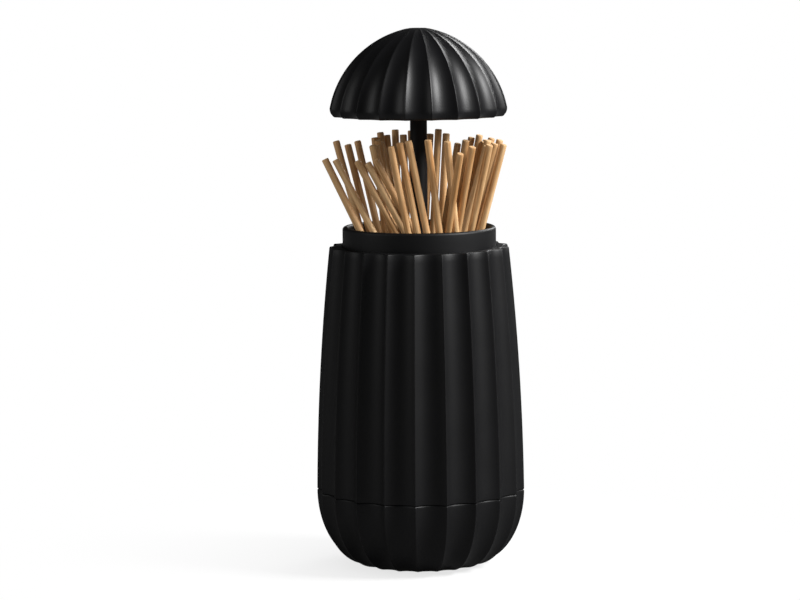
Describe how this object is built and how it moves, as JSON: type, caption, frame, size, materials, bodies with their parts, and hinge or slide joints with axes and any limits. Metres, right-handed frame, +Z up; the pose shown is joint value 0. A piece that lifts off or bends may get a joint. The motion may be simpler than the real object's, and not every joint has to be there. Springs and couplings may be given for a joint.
{
  "type": "toothpick dispenser",
  "caption": "Fluted black pop-up toothpick dispenser with a domed lid on a stem: pressing the lid raises a sprung tray and the picks fan out over the collar.",
  "frame": {"origin": "centre of the foot pad on the table", "axes": "+Z up along the stem, -Y the side the picture shows"},
  "size_m": [0.0568, 0.0569, 0.146],
  "materials": {
    "black_plastic": "fine satin black moulded plastic of the body and bowl",
    "lid_plastic": "fine satin black moulded plastic of the lid, a little greyer",
    "cup_plastic": "smooth satin black plastic of the cup, its collar and the stem",
    "inner_plastic": "plain black plastic of the hidden inner pieces",
    "nylon": "white low-friction nylon",
    "steel": "drawn steel wire, rod and screws",
    "rubber": "dark grey rubber",
    "bamboo": "pale bamboo, straight grain"
  },
  "bodies": {
    "base": {"body_shell": "black_plastic", "base_bowl": "black_plastic", "inner_cup": "cup_plastic", "inner_base": "inner_plastic", "foot_plate": "inner_plastic", "foot_pad": "rubber", "base_screws": "steel", "latch_sleeve": "nylon", "sleeve_screws": "steel", "guide_rod": "steel", "stop_nut": "steel", "lift_spring": "steel"},
    "lift": {"stem": "cup_plastic", "lift_tray": "inner_plastic", "stem_bush": "nylon", "rotor_clip": "steel", "lid_washer": "steel", "lid_screw": "steel"},
    "rotor": {"latch_rotor": "nylon"},
    "lid": {"lid_dome": "lid_plastic", "lid_core": "inner_plastic"},
    "picks_01": {"picks_01": "bamboo"},
    "picks_02": {"picks_02": "bamboo"},
    "picks_03": {"picks_03": "bamboo"},
    "picks_04": {"picks_04": "bamboo"},
    "picks_05": {"picks_05": "bamboo"},
    "picks_06": {"picks_06": "bamboo"},
    "picks_07": {"picks_07": "bamboo"},
    "picks_08": {"picks_08": "bamboo"},
    "picks_09": {"picks_09": "bamboo"},
    "picks_10": {"picks_10": "bamboo"},
    "picks_11": {"picks_11": "bamboo"},
    "picks_12": {"picks_12": "bamboo"},
    "picks_13": {"picks_13": "bamboo"},
    "picks_14": {"picks_14": "bamboo"},
    "picks_15": {"picks_15": "bamboo"},
    "picks_16": {"picks_16": "bamboo"}
  },
  "joints": [
    {"name": "lift_slide", "type": "slide", "parent": "base", "child": "lift", "axis": [0, 0, 1], "range_m": [-0.0345, 0], "stiffness_N_per_m": 40, "springref_m": 0.03, "deforming": ["lift_spring"]},
    {"name": "lid_spin", "type": "hinge", "parent": "lift", "child": "lid", "pos_m": [0, 0, 0.1224], "axis": [0, 0, 1], "continuous": true},
    {"name": "rotor_turn", "type": "hinge", "parent": "lift", "child": "rotor", "pos_m": [0, 0, 0.0474], "axis": [0, 0, 1], "continuous": true},
    {"name": "picks_01_lean", "type": "hinge", "parent": "lift", "child": "picks_01", "pos_m": [0.0025, -0.0095, 0.0586], "axis": [-0.2017, -0.9795, 0], "range_deg": [-27.21, 0.1]},
    {"name": "picks_02_lean", "type": "hinge", "parent": "lift", "child": "picks_02", "pos_m": [0.013, -0.001, 0.0586], "axis": [0.249, -0.9685, 0], "range_deg": [-28.16, 0.1]},
    {"name": "picks_03_lean", "type": "hinge", "parent": "lift", "child": "picks_03", "pos_m": [0.006, -0.015, 0.0586], "axis": [0.2941, -0.9558, 0], "range_deg": [-11.44, 0.1]},
    {"name": "picks_04_lean", "type": "hinge", "parent": "lift", "child": "picks_04", "pos_m": [0.011, -0.011, 0.0586], "axis": [0.7526, -0.6585, 0], "range_deg": [-9.01, 0.1]},
    {"name": "picks_05_lean", "type": "hinge", "parent": "lift", "child": "picks_05", "pos_m": [0.0035, -0.004, 0.0586], "axis": [0.8654, 0.501, 0], "range_deg": [-18.04, 0.1]},
    {"name": "picks_06_lean", "type": "hinge", "parent": "lift", "child": "picks_06", "pos_m": [0.0075, -0.001, 0.0586], "axis": [0.53, 0.848, 0], "range_deg": [-15.65, 0.1]},
    {"name": "picks_07_lean", "type": "hinge", "parent": "lift", "child": "picks_07", "pos_m": [0.0035, 0.002, 0.0586], "axis": [0.3624, 0.932, 0], "range_deg": [-16, 0.1]},
    {"name": "picks_08_lean", "type": "hinge", "parent": "lift", "child": "picks_08", "pos_m": [0.0065, 0.008, 0.0586], "axis": [0.4258, 0.9048, 0], "range_deg": [-15.59, 0.1]},
    {"name": "picks_09_lean", "type": "hinge", "parent": "lift", "child": "picks_09", "pos_m": [0.0055, 0.013, 0.0586], "axis": [0.4741, 0.8805, 0], "range_deg": [-12.39, 0.1]},
    {"name": "picks_10_lean", "type": "hinge", "parent": "lift", "child": "picks_10", "pos_m": [0.0025, 0.0125, 0.0586], "axis": [0.8064, 0.5914, 0], "range_deg": [-15.44, 0.1]},
    {"name": "picks_11_lean", "type": "hinge", "parent": "lift", "child": "picks_11", "pos_m": [0.002, 0.016, 0.0586], "axis": [0.4472, 0.8944, 0], "range_deg": [-3.87, 0.1]},
    {"name": "picks_12_lean", "type": "hinge", "parent": "lift", "child": "picks_12", "pos_m": [-0.0025, 0.012, 0.0586], "axis": [-0.9701, -0.2425, 0], "range_deg": [-7.04, 0.1]},
    {"name": "picks_13_lean", "type": "hinge", "parent": "lift", "child": "picks_13", "pos_m": [-0.0045, 0.0075, 0.0586], "axis": [-0.8192, -0.5735, 0], "range_deg": [-10.31, 0.1]},
    {"name": "picks_14_lean", "type": "hinge", "parent": "lift", "child": "picks_14", "pos_m": [-0.0055, 0, 0.0586], "axis": [-0.6074, -0.7944, 0], "range_deg": [-17.62, 0.1]},
    {"name": "picks_15_lean", "type": "hinge", "parent": "lift", "child": "picks_15", "pos_m": [0.005, 0.006, 0.0586], "axis": [0.4258, 0.9048, 0], "range_deg": [-15.59, 0.1]},
    {"name": "picks_16_lean", "type": "hinge", "parent": "lift", "child": "picks_16", "pos_m": [0.0005, 0.0075, 0.0586], "axis": [0.6805, -0.7328, 0], "range_deg": [-15.84, 0.1]}
  ],
  "couplings": [
    {"joint": "picks_01_lean", "follows": "lift_slide", "rad_per_m": 13.716},
    {"joint": "picks_02_lean", "follows": "lift_slide", "rad_per_m": 14.195},
    {"joint": "picks_03_lean", "follows": "lift_slide", "rad_per_m": 5.7386},
    {"joint": "picks_04_lean", "follows": "lift_slide", "rad_per_m": 4.5079},
    {"joint": "picks_05_lean", "follows": "lift_slide", "rad_per_m": 9.077},
    {"joint": "picks_06_lean", "follows": "lift_slide", "rad_per_m": 7.8673},
    {"joint": "picks_07_lean", "follows": "lift_slide", "rad_per_m": 8.0436},
    {"joint": "picks_08_lean", "follows": "lift_slide", "rad_per_m": 7.8357},
    {"joint": "picks_09_lean", "follows": "lift_slide", "rad_per_m": 6.2151},
    {"joint": "picks_10_lean", "follows": "lift_slide", "rad_per_m": 7.7613},
    {"joint": "picks_11_lean", "follows": "lift_slide", "rad_per_m": 1.9091},
    {"joint": "picks_12_lean", "follows": "lift_slide", "rad_per_m": 3.5082},
    {"joint": "picks_13_lean", "follows": "lift_slide", "rad_per_m": 5.1632},
    {"joint": "picks_14_lean", "follows": "lift_slide", "rad_per_m": 8.8623},
    {"joint": "picks_15_lean", "follows": "lift_slide", "rad_per_m": 7.8357},
    {"joint": "picks_16_lean", "follows": "lift_slide", "rad_per_m": 7.9612}
  ]
}
